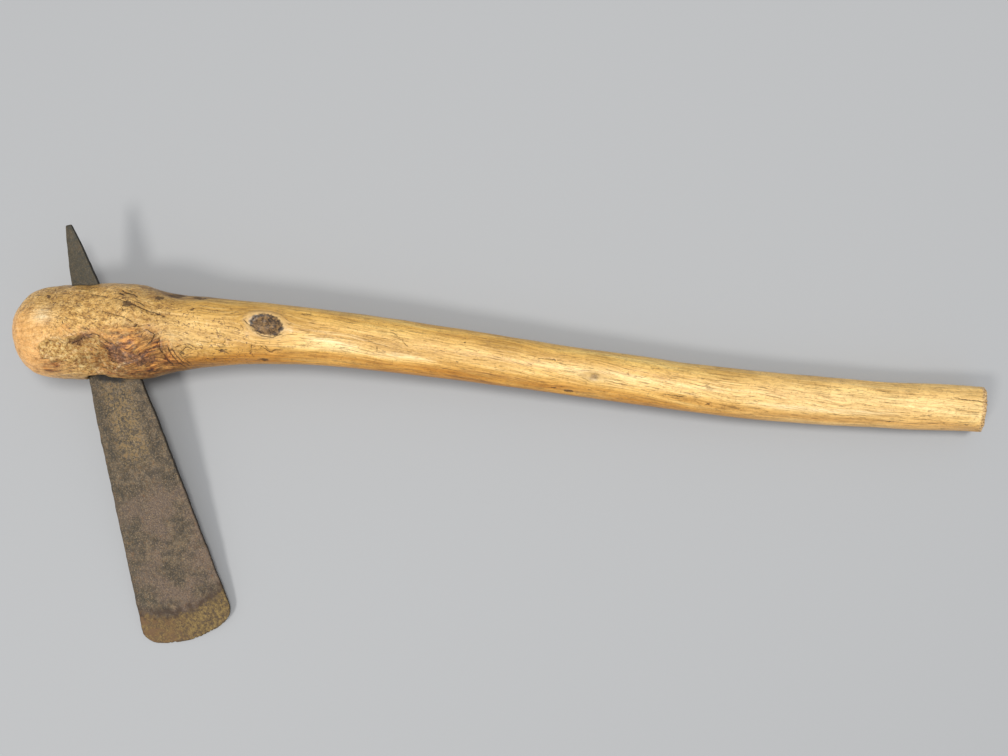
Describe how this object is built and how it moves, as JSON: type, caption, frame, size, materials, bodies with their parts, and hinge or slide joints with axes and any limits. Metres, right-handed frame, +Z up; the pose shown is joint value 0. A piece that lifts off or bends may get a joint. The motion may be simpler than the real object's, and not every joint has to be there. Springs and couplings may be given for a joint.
{
  "type": "hafted tanged axe",
  "caption": "Tanged iron axe blade set through the knob of a carved wooden haft, lying on its side with the flared cutting edge pointing out from the haft.",
  "frame": {"origin": "centre of the underside of the bounding box, on the ground that the axe lies on", "axes": "+X runs along the haft from the knob to the butt, the cutting edge points to -Y and the tang to +Y, +Z is up"},
  "size_m": [0.5774, 0.2486, 0.0504],
  "materials": {
    "haft_wood": "hand-polished honey-coloured wood with open grain, cracks and stains",
    "blade_iron": "hand-forged iron with a dark brown patina and fine rust"
  },
  "bodies": {
    "root": {"haft": "haft_wood", "blade": "blade_iron"}
  },
  "joints": []
}
